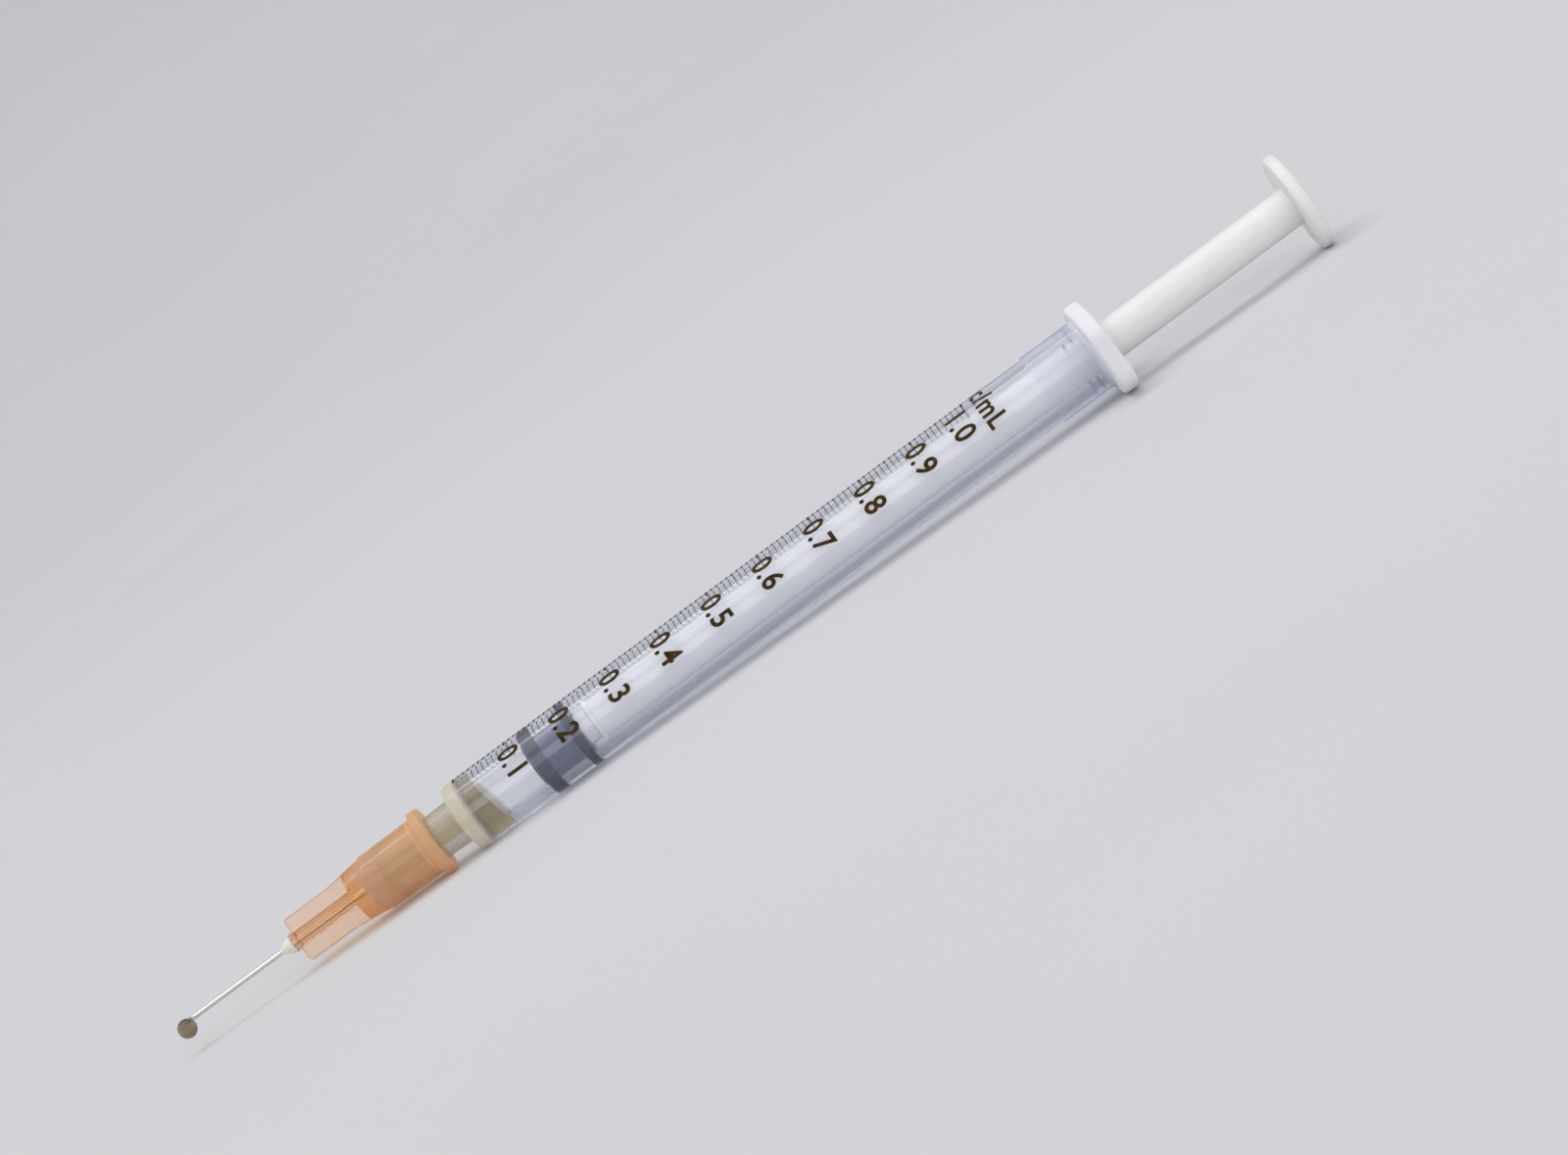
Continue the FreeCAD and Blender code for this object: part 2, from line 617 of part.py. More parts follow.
def rest_pose(sheet):
    """How the syringe lies: on the hub's rim and the finger flange, its long flange flat.

    The tilt is that of the straight line that touches the rim's corner and the flange's rounded
    edge from below, or the rim and the thumb rest where the thumb rest reaches lower.
    """
    rim_x = measure(sheet, HUB_RIM_FRONT) + sheet.hub_rim_slope
    rim_drop = sheet.hub_rim_radius
    flange_along = measure(sheet, FLANGE_FRONT) + sheet.flange_edge_round - rim_x
    flange_down = sheet.flange_half_width - sheet.flange_edge_round - rim_drop
    on_flange = math.atan2(flange_down, flange_along) + math.asin(
        sheet.flange_edge_round / math.hypot(flange_along, flange_down)
    )
    thumb_along = measure(sheet, THUMB_REST) + sheet.thumb_rest_round - rim_x
    on_thumb_rest = math.atan2(sheet.thumb_rest_radius - rim_drop, thumb_along)
    tilt = max(on_flange, on_thumb_rest)
    height = -rim_x * math.sin(tilt) + rim_drop * math.cos(tilt)
    turn = FreeCAD.Rotation(FreeCAD.Vector(0, 1, 0), -math.degrees(tilt))
    drop = turn.multVec(FreeCAD.Vector(measure(sheet, DROP_CENTRE), 0, 0))
    rear_edge = FreeCAD.Vector(
        measure(sheet, THUMB_REST_END), 0, sheet.thumb_rest_round - sheet.thumb_rest_radius
    )
    left = drop.x - sheet.drop_radius
    right = turn.multVec(rear_edge).x
    return FreeCAD.Placement(FreeCAD.Vector(-(left + right) / 2, 0, height), turn)


def make_droplet(doc, needle, rest):
    """Drop of liquid that hangs straight down from the needle's point and wraps round it."""
    ball = doc.addObject("Part::Sphere", "drop_ball")
    ball.setExpression("Radius", "Size.drop_radius")
    point = rest.multVec(FreeCAD.Vector(measure(ball, DROP_CENTRE), 0, 0))
    hang = FreeCAD.Vector(0, 0, measure(ball, "Size.drop_hang"))
    ball.Placement.Base = point - hang
    droplet = doc.addObject("Part::Cut", "droplet")
    droplet.Label = "droplet"
    droplet.Base = ball
    droplet.Tool = needle
    return droplet


def check(doc, pieces):
    """Stops if a feature failed, a feature cut nothing or a piece isn't one sound solid."""
    for thing in doc.Objects:
        if "Invalid" in thing.State or "Error" in thing.State:
            raise RuntimeError(f"{thing.Name} failed: {thing.State}")
    for piece in pieces:
        shape = piece.Shape
        if shape.isNull() or not shape.isValid() or len(shape.Solids) != 1:
            raise RuntimeError(f"{piece.Label} is not one sound solid")
        features = [f for f in getattr(piece, "Group", []) if hasattr(f, "BaseFeature")]
        for feature in features:
            before = feature.BaseFeature
            if before and abs(before.Shape.Volume - feature.Shape.Volume) < TOLERANCE**2:
                raise RuntimeError(f"{feature.Name} changes nothing")


def main():
    doc = FreeCAD.newDocument("syringe")
    sheet = make_sheet(doc)
    makers = (
        make_barrel, make_stopper, make_plunger_rod, make_hub, make_needle, make_glue, make_liquid,
    )
    pieces = [make(doc) for make in makers]
    rest = rest_pose(sheet)
    for piece in pieces:
        piece.Placement = rest
    needle = next(piece for piece in pieces if piece.Label == "needle_tube")
    pieces.append(make_droplet(doc, needle, rest))
    doc.recompute()
    check(doc, pieces)
    os.makedirs("parts", exist_ok=True)
    for piece in pieces:
        piece.Shape.exportStep(f"parts/{piece.Label}.step")
        box = piece.Shape.optimalBoundingBox()
        print(f"{piece.Label:16s} {piece.Shape.Volume:10.3f} mm3  {box}")
    print("rest pose", rest)


main()
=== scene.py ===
# Looks of the one-millilitre syringe: materials, printed scale, air bubble, light and camera.
# Metres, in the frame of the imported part. Along the syringe, places are counted from the zero
# graduation, positive towards the plunger; round it, angles are counted in degrees from the line
# that faces the camera, positive upwards.
import json
import math

import bmesh
import bpy
from mathutils import Matrix, Vector


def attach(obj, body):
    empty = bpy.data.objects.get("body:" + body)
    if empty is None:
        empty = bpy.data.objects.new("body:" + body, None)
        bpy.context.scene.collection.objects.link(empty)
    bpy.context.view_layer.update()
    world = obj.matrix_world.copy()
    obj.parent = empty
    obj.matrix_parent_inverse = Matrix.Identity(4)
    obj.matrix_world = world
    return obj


MM = 0.001

# Places along the syringe that its finishes follow
HUB_NOSE = -20.5 * MM
HUB_WEB = -13.4 * MM
HUB_SOCKET = -12.0 * MM
HUB_RIM = -4.4 * MM
NOZZLE_TIP = -9.63 * MM
SHOULDER = -1.63 * MM
BORE_END = -0.43 * MM
MENISCUS = 1.5 * MM
FRONT_RIB_END = 8.4 * MM
REAR_RIB = 11.1 * MM
COLLAR = 63.7 * MM
FLANGE = 69.4 * MM

# Printed scale
SCALE_LENGTH = 57.0 * MM
GRADUATIONS = 100
INK_HEIGHT = 0.012 * MM
LONG_TICK_WIDTH = 0.20 * MM
FINE_TICK_WIDTH = 0.13 * MM
LONG_TICK_ARC = (67.0, 128.0)
HALF_TICK_ARC = (69.0, 120.0)
FINE_TICK_ARC = (71.0, 116.0)
TICK_STEPS = 8
CAP_HEIGHT = 2.24 * MM
GLYPH_WEIGHT = 0.022
GLYPH_STRETCH = 0.80
GLYPH_SPACING = 1.10
LABEL_TOP_ANGLE = 54.5
UNIT_END_ANGLE = -4.8
UNIT_PLACE = 58.9 * MM
UNIT_HEIGHT = 2.08 * MM

# Air bubble in the liquid, at the bottom of the hub's socket
BUBBLE_PLACE = -10.35 * MM
BUBBLE_OFF_AXIS = 0.45 * MM
BUBBLE_ANGLE = -90
BUBBLE_RADIUS = 0.80 * MM

# How far pieces swell so that no film of air is left against their neighbours
STOPPER_SWELL = 0.035 * MM
LIQUID_SWELL = 0.015 * MM
HUB_SWELL = 0.010 * MM

# The two liquids' colours and the depths over which they take them on
OLIVE = (0.58, 0.47, 0.01)
OLIVE_DEPTH = 1.7 * MM
AMBER = (0.42, 0.27, 0.03)
AMBER_DEPTH = 0.95 * MM

# How strongly the plastics and the liquid bend light
PLASTIC_IOR = 1.49
LIQUID_IOR = 1.34

# Light from all round
SKY_COLOUR = (0.95, 0.96, 1.0, 1)
SKY_STRENGTH = 0.52

# Floor that sweeps up into a backdrop
STAGE_HALF_WIDTH = 2.0
STAGE_NEAR = -1.2
STAGE_BEND = 0.5
STAGE_RISE = 1.6
STAGE_WALL = 0.8
STAGE_STEPS = 36

# Camera: distance from the syringe, view angles, the roll of the photograph and its field
CAMERA_DISTANCE = 400 * MM
CAMERA_ELEVATION = 8.0
CAMERA_SWING = 2.4
CAMERA_ROLL = 36.47
SENSOR_WIDTH = 36.0
FIELD_WIDTH = 141.43 * MM
LOOK_PLACE = 35.0 * MM
LOOK_ABOVE_AXIS = 0.27 * MM


def syringe_axis(frame):
    """The syringe's own axis: its direction, its upward normal and the zero graduation on it."""
    slide = next(joint for joint in frame["joints"] if joint["name"] == "plunger_slide")
    turn = next(joint for joint in frame["joints"] if joint["name"] == "rod_turn")
    direction = Vector(slide["axis"]).normalized()
    upward = Vector((-direction.z, 0, direction.x))
    on_axis = Vector(turn["pos_m"])
    barrel = frame["nodes"]["barrel"].data
    nozzle_tip = min((vertex.co - on_axis).dot(direction) for vertex in barrel.vertices)
    return direction, upward, on_axis + direction * (nozzle_tip - NOZZLE_TIP)


def at(along, radius, angle):
    """A point from its place along the syringe, its radius and its angle round it."""
    turn = math.radians(angle + CAMERA_ELEVATION)
    outward = math.cos(turn) * Vector((0, -1, 0)) + math.sin(turn) * UPWARD
    return ZERO + DIRECTION * along + outward * radius


def add_piece(name, mesh, body, material):
    piece = bpy.data.objects.new(name, mesh)
    bpy.context.scene.collection.objects.link(piece)
    mesh.materials.clear()
    mesh.materials.append(material)
    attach(piece, body)


def barrel_radius(barrel, place):
    """The barrel's largest radius ahead of a place along it, read from its vertices."""
    radii = [
        math.hypot(away.y, away.dot(UPWARD))
        for away in (vertex.co - ZERO for vertex in barrel.data.vertices)
        if away.dot(DIRECTION) < place
    ]
    return max(radii)


# Materials

def new_material(name):
    material = bpy.data.materials.new(name)
    material.use_nodes = True
    tree = material.node_tree
    tree.nodes.clear()
    out = tree.nodes.new("ShaderNodeOutputMaterial")
    return material, tree, out


def shader(tree, kind, **values):
    node = tree.nodes.new(kind)
    for name, value in values.items():
        node.inputs[name.replace("_", " ")].default_value = value
    return node


def mixed(tree, share, first, second):
    """Two shaders mixed; the share is a number or a socket."""
    mix = tree.nodes.new("ShaderNodeMixShader")
    if isinstance(share, float):
        mix.inputs[0].default_value = share
    else:
        tree.links.new(share, mix.inputs[0])
    tree.links.new(first, mix.inputs[1])
    tree.links.new(second, mix.inputs[2])
    return mix.outputs[0]


def noise(tree, scale, stretch=(1, 1, 1)):
    """Noise on object coordinates; a stretch under 1 draws it out along that axis."""
    coordinates = tree.nodes.new("ShaderNodeTexCoord")
    mapping = tree.nodes.new("ShaderNodeMapping")
    mapping.inputs["Scale"].default_value = stretch
    texture = tree.nodes.new("ShaderNodeTexNoise")
    texture.inputs["Scale"].default_value = scale
    texture.inputs["Detail"].default_value = 3.0
    tree.links.new(coordinates.outputs["Object"], mapping.inputs["Vector"])
    tree.links.new(mapping.outputs[0], texture.inputs["Vector"])
    return texture.outputs["Fac"]


def ramp(tree, value, *stops):
    """Colours or greys along a value: each stop is (place, colour)."""
    node = tree.nodes.new("ShaderNodeValToRGB")
    elements = node.color_ramp.elements
    while len(elements) < len(stops):
        elements.new(0.5)
    for element, (place, colour) in zip(elements, stops):
        element.position = place
        element.color = (*colour, 1)
    tree.links.new(value, node.inputs[0])
    return node.outputs["Color"]


def graded(tree, *stops):
    """Colours or greys that change along the syringe: each stop is (place, colour)."""
    start, end = stops[0][0], stops[-1][0]
    coordinates = tree.nodes.new("ShaderNodeTexCoord")
    offset = tree.nodes.new("ShaderNodeVectorMath")
    offset.operation = "SUBTRACT"
    offset.inputs[1].default_value = ZERO
    dot = tree.nodes.new("ShaderNodeVectorMath")
    dot.operation = "DOT_PRODUCT"
    dot.inputs[1].default_value = DIRECTION
    span = tree.nodes.new("ShaderNodeMapRange")
    span.inputs["From Min"].default_value = start
    span.inputs["From Max"].default_value = end
    tree.links.new(coordinates.outputs["Object"], offset.inputs[0])
    tree.links.new(offset.outputs["Vector"], dot.inputs[0])
    tree.links.new(dot.outputs["Value"], span.inputs["Value"])
    shares = [((place - start) / (end - start), colour) for place, colour in stops]
    return ramp(tree, span.outputs["Result"], *shares)


def grey(value):
    return (value, value, value)


def bump(tree, height, strength, distance):
    node = tree.nodes.new("ShaderNodeBump")
    node.inputs["Strength"].default_value = strength
    node.inputs["Distance"].default_value = distance
    tree.links.new(height, node.inputs["Height"])
    return node.outputs["Normal"]


def lit_through(tree, seen, colour):
    """Lamplight and scattered light pass straight through; all that is seen meets the shader."""
    straight = shader(tree, "ShaderNodeBsdfTransparent", Color=colour)
    path = tree.nodes.new("ShaderNodeLightPath")
    either = tree.nodes.new("ShaderNodeMath")
    either.operation = "MAXIMUM"
    tree.links.new(path.outputs["Is Shadow Ray"], either.inputs[0])
    tree.links.new(path.outputs["Is Diffuse Ray"], either.inputs[1])
    return mixed(tree, either.outputs[0], seen, straight.outputs[0])


def moulded_plastic(
    name, roughness, grain_scale, grain_stretch, grain_strength, tints, shares, skin_share,
    inner_colour, density, passed_colour,
):
    """Clear plastic with a haze in it, whose tint and share change along the syringe."""
    material, tree, out = new_material(name)
    clear = shader(
        tree, "ShaderNodeBsdfPrincipled", Base_Color=(1, 1, 1, 1), Roughness=roughness,
        IOR=PLASTIC_IOR, Transmission_Weight=1.0,
    )
    grain = noise(tree, grain_scale, grain_stretch)
    tree.links.new(bump(tree, grain, grain_strength, 0.02 * MM), clear.inputs["Normal"])
    haze = shader(tree, "ShaderNodeBsdfTranslucent")
    skin = shader(tree, "ShaderNodeBsdfDiffuse", Roughness=0.3)
    tint = graded(tree, *tints)
    tree.links.new(tint, haze.inputs["Color"])
    tree.links.new(tint, skin.inputs["Color"])
    cloud = mixed(tree, skin_share, haze.outputs[0], skin.outputs[0])
    body = lit_through(tree, clear.outputs[0], passed_colour)
    share = graded(tree, *((place, grey(value)) for place, value in shares))
    inside = shader(tree, "ShaderNodeVolumeAbsorption", Color=inner_colour, Density=density)
    tree.links.new(mixed(tree, share, body, cloud), out.inputs["Surface"])
    tree.links.new(inside.outputs[0], out.inputs["Volume"])
    return material


def clear_plastic():
    """Barrel: clear with a lavender haze, milky at the nozzle and front, frosted at the flange,
    with a painted highlight ring of haze at the collar's step.
    """
    lavender = (0.86, 0.88, 0.97)
    return moulded_plastic(
        "clear_plastic",
        roughness=0.04,
        grain_scale=900.0,
        grain_stretch=(0.15, 1, 1),
        grain_strength=0.004,
        tints=(
            (NOZZLE_TIP, (0.66, 0.58, 0.39)),
            (SHOULDER - 0.1 * MM, (0.68, 0.60, 0.41)),
            (SHOULDER, (0.88, 0.83, 0.71)),
            (BORE_END, (0.88, 0.79, 0.58)),
            (BORE_END + 0.45 * MM, lavender),
            (FLANGE - 0.5 * MM, lavender),
            (FLANGE, (0.97, 0.97, 0.98)),
        ),
        shares=(
            (NOZZLE_TIP, 0.34),
            (SHOULDER - 0.1 * MM, 0.38),
            (SHOULDER, 0.66),
            (BORE_END + 0.15 * MM, 0.62),
            (BORE_END + 0.45 * MM, 0.05),
            (MENISCUS, 0.05),
            (MENISCUS + 1.0 * MM, 0.08),
            # Painted highlight: a narrow ring of dense haze at the collar's step stands in for the
            # thin bright line of light caught at that edge
            (COLLAR - 0.1 * MM, 0.08),
            (COLLAR, 0.85),
            (COLLAR + 0.1 * MM, 0.14),
            (FLANGE - 0.5 * MM, 0.20),
            (FLANGE, 0.95),
        ),
        skin_share=0.90,
        inner_colour=(0.62, 0.66, 0.90, 1),
        density=0.10 / MM,
        passed_colour=(1.0, 1.0, 1.0, 1),
    )


def orange_plastic():
    """Hub: translucent peach plastic that turns amber where it is thick."""
    return moulded_plastic(
        "orange_plastic",
        roughness=0.06,
        grain_scale=1200.0,
        grain_stretch=(1, 1, 1),
        grain_strength=0.006,
        tints=(
            (HUB_NOSE, (0.92, 0.64, 0.47)),
            (HUB_WEB - 0.2 * MM, (0.92, 0.62, 0.42)),
            (HUB_WEB, (0.96, 0.58, 0.15)),
            (HUB_SOCKET - 0.4 * MM, (0.96, 0.60, 0.18)),
            (HUB_SOCKET, (1.0, 0.75, 0.56)),
            (NOZZLE_TIP - 0.5 * MM, (1.0, 0.73, 0.52)),
            (NOZZLE_TIP + 0.3 * MM, (1.0, 0.72, 0.44)),
            (HUB_RIM, (1.0, 0.74, 0.46)),
        ),
        shares=(
            (HUB_NOSE, 0.18),
            (HUB_WEB, 0.20),
            (HUB_SOCKET - 0.6 * MM, 0.28),
            (HUB_SOCKET + 0.3 * MM, 0.42),
            (NOZZLE_TIP - 0.5 * MM, 0.42),
            (NOZZLE_TIP + 0.3 * MM, 0.32),
            (HUB_RIM - 1.6 * MM, 0.32),
            (HUB_RIM - 1.5 * MM, 0.62),
            (HUB_RIM, 0.66),
        ),
        skin_share=0.6,
        inner_colour=(0.98, 0.68, 0.30, 1),
        density=0.42 / MM,
        passed_colour=(1.0, 0.97, 0.93, 1),
    )


def white_plastic():
    """Rod and thumb rest: white, satin, with the faint flow marks of moulding."""
    material, tree, out = new_material("white_plastic")
    body = shader(
        tree, "ShaderNodeBsdfPrincipled", Roughness=0.38, IOR=PLASTIC_IOR,
        Subsurface_Weight=0.25, Subsurface_Scale=0.6 * MM,
    )
    tint = ramp(tree, noise(tree, 260.0, (0.12, 1, 1)), (0.35, (0.86, 0.86, 0.85)),
                (0.65, (0.90, 0.90, 0.89)))
    tree.links.new(tint, body.inputs["Base Color"])
    tree.links.new(bump(tree, noise(tree, 2500.0), 0.08, 0.01 * MM), body.inputs["Normal"])
    tree.links.new(body.outputs[0], out.inputs["Surface"])
    return material


def dark_rubber():
    """Stopper: navy-black rubber, slightly cloudy from its lubricant."""
    material, tree, out = new_material("dark_rubber")
    body = shader(tree, "ShaderNodeBsdfPrincipled", IOR=1.5)
    slate, navy = (0.020, 0.032, 0.066), (0.010, 0.026, 0.110)
    tint = graded(
        tree,
        (FRONT_RIB_END - 0.1 * MM, slate), (FRONT_RIB_END, navy), (REAR_RIB, navy),
        (REAR_RIB + 0.1 * MM, slate),
    )
    rough = ramp(tree, noise(tree, 700.0), (0.35, grey(0.27)), (0.7, grey(0.38)))
    tree.links.new(tint, body.inputs["Base Color"])
    tree.links.new(rough, body.inputs["Roughness"])
    tree.links.new(bump(tree, noise(tree, 4000.0), 0.15, 0.01 * MM), body.inputs["Normal"])
    tree.links.new(body.outputs[0], out.inputs["Surface"])
    return material


def needle_steel():
    """Needle: drawn stainless tube, with fine scratches along it."""
    material, tree, out = new_material("needle_steel")
    body = shader(tree, "ShaderNodeBsdfPrincipled", Metallic=1.0)
    tint = ramp(tree, noise(tree, 3000.0, (0.01, 1, 1)), (0.3, (0.62, 0.61, 0.58)),
                (0.7, (0.80, 0.79, 0.76)))
    rough = ramp(tree, noise(tree, 5000.0, (0.01, 1, 1)), (0.3, grey(0.14)), (0.7, grey(0.20)))
    tree.links.new(tint, body.inputs["Base Color"])
    tree.links.new(rough, body.inputs["Roughness"])
    tree.links.new(body.outputs[0], out.inputs["Surface"])
    return material


def cream_glue():
    """Glue bead: glossy cream, slightly uneven."""
    material, tree, out = new_material("cream_glue")
    body = shader(
        tree, "ShaderNodeBsdfPrincipled", Roughness=0.18, IOR=1.5, Subsurface_Weight=0.4,
        Subsurface_Scale=0.3 * MM,
    )
    tint = ramp(tree, noise(tree, 1500.0), (0.3, (0.86, 0.84, 0.72)), (0.7, (0.92, 0.91, 0.82)))
    tree.links.new(tint, body.inputs["Base Color"])
    tree.links.new(bump(tree, noise(tree, 900.0), 0.3, 0.05 * MM), body.inputs["Normal"])
    tree.links.new(body.outputs[0], out.inputs["Surface"])
    return material


def liquid_look(name, colour, depth):
    """Clear liquid that takes on its colour over a depth."""
    material, tree, out = new_material(name)
    surface = shader(
        tree, "ShaderNodeBsdfPrincipled", Base_Color=(1, 1, 1, 1), Roughness=0.0, IOR=LIQUID_IOR,
        Transmission_Weight=1.0,
    )
    inside = shader(tree, "ShaderNodeVolumeAbsorption", Color=(*colour, 1), Density=1 / depth)
    body = lit_through(tree, surface.outputs[0], (1.0, 1.0, 1.0, 1))
    tree.links.new(body, out.inputs["Surface"])
    tree.links.new(inside.outputs[0], out.inputs["Volume"])
    return material


def bubble_look():
    """Air seen from inside the liquid."""
    material, tree, out = new_material("air")
    surface = shader(
        tree, "ShaderNodeBsdfPrincipled", Base_Color=(1, 1, 1, 1), Roughness=0.0,
        IOR=1 / LIQUID_IOR, Transmission_Weight=1.0,
    )
    tree.links.new(surface.outputs[0], out.inputs["Surface"])
    return material


def ink_look():
    """Ink: dark brown, thinner in places."""
    material, tree, out = new_material("ink")
    body = shader(tree, "ShaderNodeBsdfPrincipled", Roughness=0.7, Specular_IOR_Level=0.12)
    tint = ramp(tree, noise(tree, 2500.0), (0.35, (0.028, 0.014, 0.001)),
                (0.75, (0.095, 0.058, 0.012)))
    tree.links.new(tint, body.inputs["Base Color"])
    tree.links.new(body.outputs[0], out.inputs["Surface"])
    return material


# Printed scale

def add_tick(shape, place, width, arc, radius):
    """One thin bar of ink: its section, spun part of the way round the barrel."""
    start, end = arc
    section = shape.faces.new([
        shape.verts.new(at(place + side * width / 2, radius + lift, start))
        for side, lift in ((-1, 0), (1, 0), (1, INK_HEIGHT), (-1, INK_HEIGHT))
    ])
    bmesh.ops.spin(
        shape, geom=[section, *section.edges, *section.verts], cent=ZERO, axis=DIRECTION,
        angle=math.radians(start - end), steps=TICK_STEPS,
    )


def add_ticks(radius, ink):
    shape = bmesh.new()
    for count in range(GRADUATIONS + 1):
        place = SCALE_LENGTH * count / GRADUATIONS
        if count % 10 == 0:
            add_tick(shape, place, LONG_TICK_WIDTH, LONG_TICK_ARC, radius)
        elif count % 5 == 0:
            add_tick(shape, place, FINE_TICK_WIDTH, HALF_TICK_ARC, radius)
        else:
            add_tick(shape, place, FINE_TICK_WIDTH, FINE_TICK_ARC, radius)
    bmesh.ops.recalc_face_normals(shape, faces=shape.faces)
    mesh = bpy.data.meshes.new("printed_ticks")
    shape.to_mesh(mesh)
    shape.free()
    add_piece("printed_ticks", mesh, "barrel", ink)


def add_text(name, words, height, place, radius, ink, start_angle=None, end_angle=None):
    """Words printed round the barrel: they read downwards and their tops face the plunger."""
    curve = bpy.data.curves.new(name + "_curve", "FONT")
    curve.body = words
    curve.resolution_u = 4
    curve.offset = GLYPH_WEIGHT
    curve.space_character = GLYPH_SPACING
    flat = bpy.data.objects.new(name + "_flat", curve)
    bpy.context.scene.collection.objects.link(flat)
    bpy.context.view_layer.update()
    shape = bmesh.new()
    shape.from_mesh(bpy.data.meshes.new_from_object(flat))
    bpy.data.objects.remove(flat)
    low = min(vertex.co.y for vertex in shape.verts)
    high = max(vertex.co.y for vertex in shape.verts)
    left = min(vertex.co.x for vertex in shape.verts)
    right = max(vertex.co.x for vertex in shape.verts)
    size = height / (high - low)
    turn = math.degrees(size * GLYPH_STRETCH / radius)
    if start_angle is None:
        start_angle = end_angle + (right - left) * turn
    bmesh.ops.subdivide_edges(shape, edges=shape.edges, cuts=1)
    for vertex in shape.verts:
        along = (vertex.co.y - (low + high) / 2) * size
        angle = start_angle - (vertex.co.x - left) * turn
        vertex.co = at(place + along, radius + INK_HEIGHT, angle)
    mesh = bpy.data.meshes.new(name)
    shape.to_mesh(mesh)
    shape.free()
    add_piece(name, mesh, "barrel", ink)


def add_print(barrel, ink):
    radius = barrel_radius(barrel, SCALE_LENGTH)
    add_ticks(radius, ink)
    for tenths in range(1, 11):
        words = f"{tenths / 10:.1f}"
        place = SCALE_LENGTH * tenths / 10 - (CAP_HEIGHT / 2 if tenths == 10 else 0)
        add_text(
            f"numeral_{words}", words, CAP_HEIGHT, place, radius, ink, start_angle=LABEL_TOP_ANGLE
        )
    add_text(
        "unit_name", "cc/mL", UNIT_HEIGHT, UNIT_PLACE, radius, ink, end_angle=UNIT_END_ANGLE
    )


# Air bubble

def add_bubble():
    shape = bmesh.new()
    place = Matrix.Translation(at(BUBBLE_PLACE, BUBBLE_OFF_AXIS, BUBBLE_ANGLE))
    bmesh.ops.create_icosphere(shape, subdivisions=4, radius=BUBBLE_RADIUS, matrix=place)
    for face in shape.faces:
        face.smooth = True
    mesh = bpy.data.meshes.new("air_bubble")
    shape.to_mesh(mesh)
    shape.free()
    add_piece("air_bubble", mesh, "barrel", bubble_look())


# Floor, lamps and camera

def push_out(shape, edges, way):
    """Draws edges out into a sheet and returns the sheet's far edges."""
    drawn = bmesh.ops.extrude_edge_only(shape, edges=edges)["geom"]
    corners = [part for part in drawn if isinstance(part, bmesh.types.BMVert)]
    bmesh.ops.translate(shape, verts=corners, vec=way)
    return [part for part in drawn if isinstance(part, bmesh.types.BMEdge)
            and all(corner in corners for corner in part.verts)]


def add_stage():
    """Pale floor that sweeps up into a backdrop."""
    material, tree, out = new_material("pale_floor")
    surface = shader(tree, "ShaderNodeBsdfDiffuse", Roughness=0.5)
    tint = ramp(tree, noise(tree, 6.0), (0.3, (0.67, 0.67, 0.68)), (0.7, (0.69, 0.69, 0.70)))
    tree.links.new(tint, surface.inputs["Color"])
    tree.links.new(surface.outputs[0], out.inputs["Surface"])
    shape = bmesh.new()
    near = [shape.verts.new((side * STAGE_HALF_WIDTH, STAGE_NEAR, 0)) for side in (-1, 1)]
    flat_end = push_out(shape, [shape.edges.new(near)], (0, STAGE_BEND - STAGE_NEAR, 0))
    bent = bmesh.ops.spin(
        shape, geom=flat_end, cent=(0, STAGE_BEND, STAGE_RISE), axis=(1, 0, 0),
        angle=math.pi / 2, steps=STAGE_STEPS,
    )
    last = [part for part in bent["geom_last"] if isinstance(part, bmesh.types.BMEdge)]
    push_out(shape, last, (0, 0, STAGE_WALL))
    for face in shape.faces:
        face.smooth = True
    mesh = bpy.data.meshes.new("floor")
    shape.to_mesh(mesh)
    shape.free()
    mesh.materials.append(material)
    floor = bpy.data.objects.new("floor", mesh)
    bpy.context.scene.collection.objects.link(floor)


def add_light(name, watts, width, depth, place, target=(0, 0, 0)):
    light = bpy.data.lights.new(name, "AREA")
    light.shape = "RECTANGLE"
    light.size, light.size_y = width, depth
    light.energy = watts
    lamp = bpy.data.objects.new(name, light)
    lamp.location = place
    lamp.rotation_euler = (Vector(target) - Vector(place)).to_track_quat("-Z", "Y").to_euler()
    bpy.context.scene.collection.objects.link(lamp)


def light_up():
    add_light("key", watts=4.5, width=1.8, depth=1.0, place=(-0.25, -0.1, 1.3))
    add_light("strip", watts=1.4, width=1.4, depth=0.12, place=(-0.10, 0.15, 1.2))
    add_light("fill", watts=4.0, width=1.4, depth=0.7, place=(0.35, -1.1, 0.40))
    add_light(
        "backdrop_light", watts=5.0, width=2.5, depth=0.6, place=(0, 0.1, 1.5),
        target=(0, 1.2, 0.1),
    )
    world = bpy.data.worlds.new("studio")
    world.use_nodes = True
    back = world.node_tree.nodes["Background"]
    back.inputs["Color"].default_value = SKY_COLOUR
    back.inputs["Strength"].default_value = SKY_STRENGTH
    bpy.context.scene.world = world


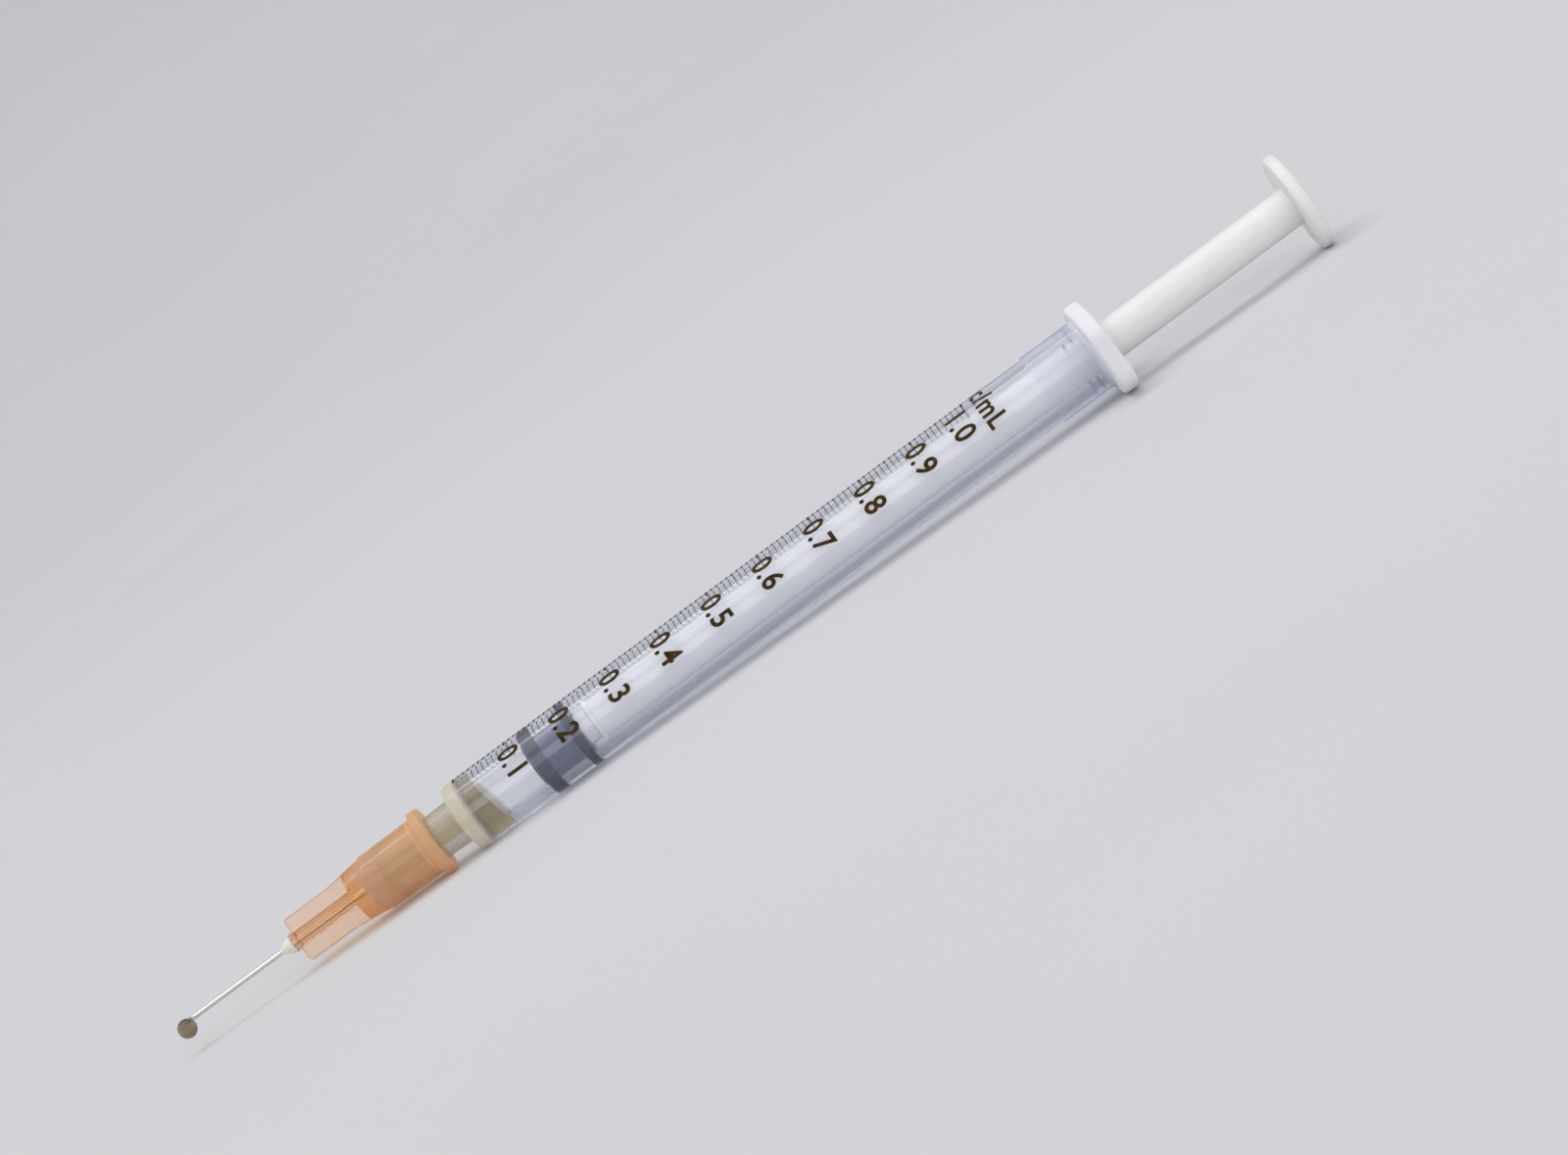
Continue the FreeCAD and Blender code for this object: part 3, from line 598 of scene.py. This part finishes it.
def add_camera():
    """Looks along the photograph's line of sight, rolled so that the syringe rises as it does."""
    tip_up = math.radians(CAMERA_ELEVATION)
    swing = math.radians(CAMERA_SWING)
    roll = math.radians(CAMERA_ROLL)
    level = math.cos(tip_up) * Vector((0, 1, 0)) - math.sin(tip_up) * UPWARD
    forward = math.cos(swing) * level - math.sin(swing) * DIRECTION
    along = (DIRECTION - forward * DIRECTION.dot(forward)).normalized()
    above = along.cross(forward)
    right = math.cos(roll) * along - math.sin(roll) * above
    up = math.sin(roll) * along + math.cos(roll) * above
    target = ZERO + DIRECTION * LOOK_PLACE + above * LOOK_ABOVE_AXIS
    lens = bpy.data.cameras.new("camera")
    lens.sensor_width = SENSOR_WIDTH
    lens.lens = SENSOR_WIDTH * CAMERA_DISTANCE / FIELD_WIDTH
    lens.clip_start = 0.01
    camera = bpy.data.objects.new("camera", lens)
    turn = Matrix((right, up, -forward)).transposed().to_4x4()
    camera.matrix_world = Matrix.Translation(target - forward * CAMERA_DISTANCE) @ turn
    bpy.context.scene.collection.objects.link(camera)
    bpy.context.scene.camera = camera


# The whole syringe

def press(node, distance):
    """Swells a piece by a hair so that it meets its neighbours with no film of air between."""
    swell = node.modifiers.new("contact", "DISPLACE")
    swell.strength = distance
    swell.mid_level = 0.0


def dress(node, material):
    node.data.materials.clear()
    node.data.materials.append(material)


def main():
    nodes = FRAME["nodes"]
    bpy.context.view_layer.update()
    dress(nodes["barrel"], clear_plastic())
    dress(nodes["plunger_rod"], white_plastic())
    dress(nodes["rubber_stopper"], dark_rubber())
    dress(nodes["needle_hub"], orange_plastic())
    dress(nodes["needle_tube"], needle_steel())
    dress(nodes["adhesive_bead"], cream_glue())
    dress(nodes["liquid"], liquid_look("olive_liquid", OLIVE, OLIVE_DEPTH))
    dress(nodes["droplet"], liquid_look("drop_liquid", AMBER, AMBER_DEPTH))
    press(nodes["rubber_stopper"], STOPPER_SWELL)
    press(nodes["liquid"], LIQUID_SWELL)
    press(nodes["needle_hub"], HUB_SWELL)
    add_print(nodes["barrel"], ink_look())
    add_bubble()
    add_stage()
    light_up()
    add_camera()
    bpy.context.scene.view_settings.view_transform = "Standard"


with open("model.json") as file:
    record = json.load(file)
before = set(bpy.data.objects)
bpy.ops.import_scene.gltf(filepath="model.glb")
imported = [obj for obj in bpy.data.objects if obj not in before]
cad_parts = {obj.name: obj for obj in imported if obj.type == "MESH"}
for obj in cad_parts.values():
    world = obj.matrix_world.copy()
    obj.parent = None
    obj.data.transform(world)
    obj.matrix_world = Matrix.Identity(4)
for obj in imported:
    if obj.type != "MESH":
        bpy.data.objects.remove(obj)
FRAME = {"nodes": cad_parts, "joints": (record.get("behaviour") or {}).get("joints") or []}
DIRECTION, UPWARD, ZERO = syringe_axis(FRAME)
main()
